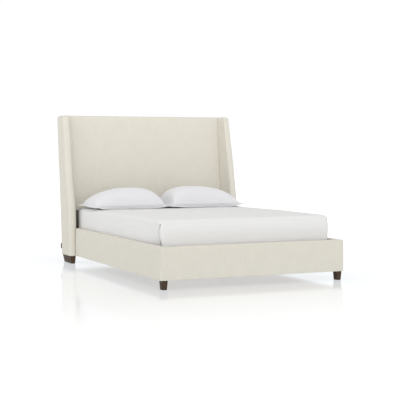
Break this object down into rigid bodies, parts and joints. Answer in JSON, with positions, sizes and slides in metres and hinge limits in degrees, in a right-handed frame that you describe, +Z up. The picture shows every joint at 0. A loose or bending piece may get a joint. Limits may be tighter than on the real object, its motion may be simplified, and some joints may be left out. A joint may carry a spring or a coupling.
{
  "type": "upholstered bed",
  "caption": "Upholstered bed: leaning headboard between tapered wings, padded rails and footboard on short tapered wood feet, with slats, mattress and flanged pillows.",
  "frame": {"origin": "on the floor under the centre of the bed's bounding box", "axes": "+Z up, +Y towards the headboard, +X to the right seen from the foot"},
  "size_m": [1.728, 2.4699, 1.383],
  "materials": {
    "linen": "matt linen weave",
    "foam": "open-cell foam",
    "pine": "planed, unfinished",
    "plywood": "sanded, unfinished",
    "espresso_wood": "dark satin stain",
    "steel": "zinc plated",
    "nylon": "matt black",
    "ticking": "matt",
    "sheet_cotton": "matt cotton percale",
    "sham_cotton": "matt cotton percale",
    "tag_cloth": "matt"
  },
  "bodies": {
    "root": {"beam_hanger_foot": "steel", "beam_hanger_head": "steel", "centre_beam": "pine", "centre_leg_foot": "pine", "centre_leg_head": "pine", "corner_block_left": "pine", "corner_block_right": "pine", "fitted_sheet": "sheet_cotton", "foot_leg_left": "espresso_wood", "foot_leg_right": "espresso_wood", "footboard_board": "pine", "footboard_cover": "linen", "footboard_foam": "foam", "head_foot_left": "espresso_wood", "head_foot_right": "espresso_wood", "headboard_back_panel": "linen", "headboard_bottom_rail": "pine", "headboard_cover": "linen", "headboard_face_board": "plywood", "headboard_foam": "foam", "headboard_middle_rail": "pine", "headboard_post_left": "pine", "headboard_post_right": "pine", "headboard_top_rail": "pine", "mattress": "ticking", "pillow_left": "sham_cotton", "pillow_right": "sham_cotton", "rail_board_left": "pine", "rail_board_right": "pine", "rail_bracket_left": "steel", "rail_bracket_right": "steel", "rail_cover_left": "linen", "rail_cover_right": "linen", "rail_foam_left": "foam", "rail_foam_right": "foam", "side_tag": "tag_cloth", "slat_01": "pine", "slat_02": "pine", "slat_03": "pine", "slat_04": "pine", "slat_05": "pine", "slat_06": "pine", "slat_07": "pine", "slat_08": "pine", "slat_09": "pine", "slat_10": "pine", "slat_11": "pine", "slat_12": "pine", "slat_ledge_left": "pine", "slat_ledge_right": "pine", "wing_core_left": "pine", "wing_core_right": "pine", "wing_cover_left": "linen", "wing_cover_right": "linen", "wing_foam_left": "foam", "wing_foam_right": "foam"},
    "leveller_foot_pad": {"leveller_pad_foot": "nylon"},
    "leveller_foot_stem": {"leveller_stem_foot": "steel"},
    "leveller_head_pad": {"leveller_pad_head": "nylon"},
    "leveller_head_stem": {"leveller_stem_head": "steel"}
  },
  "joints": [
    {"name": "leveller_foot_slide", "type": "slide", "parent": "root", "child": "leveller_foot_pad", "axis": [0, 0, -1], "range_m": [0, 0.012]},
    {"name": "leveller_foot_turn", "type": "hinge", "parent": "leveller_foot_pad", "child": "leveller_foot_stem", "pos_m": [0, -0.48, 0.05], "axis": [0, 0, -1], "range_deg": [0, 3450]},
    {"name": "leveller_head_slide", "type": "slide", "parent": "root", "child": "leveller_head_pad", "axis": [0, 0, -1], "range_m": [0, 0.012]},
    {"name": "leveller_head_turn", "type": "hinge", "parent": "leveller_head_pad", "child": "leveller_head_stem", "pos_m": [0, 0.33, 0.05], "axis": [0, 0, -1], "range_deg": [0, 3450]}
  ],
  "couplings": [
    {"joint": "leveller_foot_slide", "follows": "leveller_foot_turn", "m_per_rad": 0.00019894},
    {"joint": "leveller_head_slide", "follows": "leveller_head_turn", "m_per_rad": 0.00019894}
  ]
}
